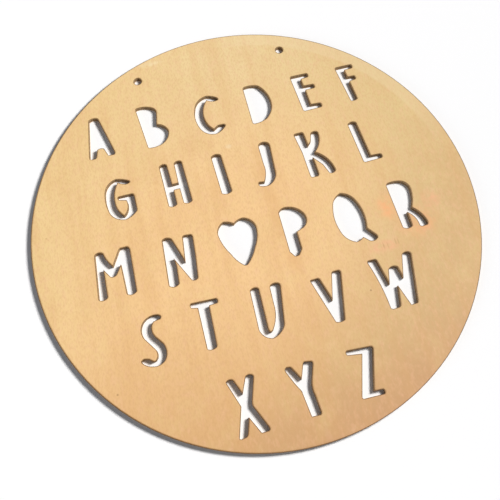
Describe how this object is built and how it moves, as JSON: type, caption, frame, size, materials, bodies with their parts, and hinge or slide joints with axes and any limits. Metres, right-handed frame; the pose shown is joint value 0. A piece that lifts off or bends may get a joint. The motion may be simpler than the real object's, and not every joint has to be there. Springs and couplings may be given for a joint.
{
  "type": "lettering stencil",
  "caption": "Round flat plywood lettering stencil with cut-out capital letters, a cut-out heart and two small hanging holes near the top of its rim.",
  "frame": {"origin": "middle of the disc on its back face", "axes": "+Z out of the front face, +Y towards the top of the letters, +X towards the end of each row"},
  "size_m": [0.3, 0.3, 0.003],
  "materials": {
    "front_birch": "sanded plain",
    "core_birch": "charred edge",
    "back_birch": "sanded plain"
  },
  "bodies": {
    "root": {"front_veneer": "front_birch", "core_veneer": "core_birch", "back_veneer": "back_birch"}
  },
  "joints": []
}
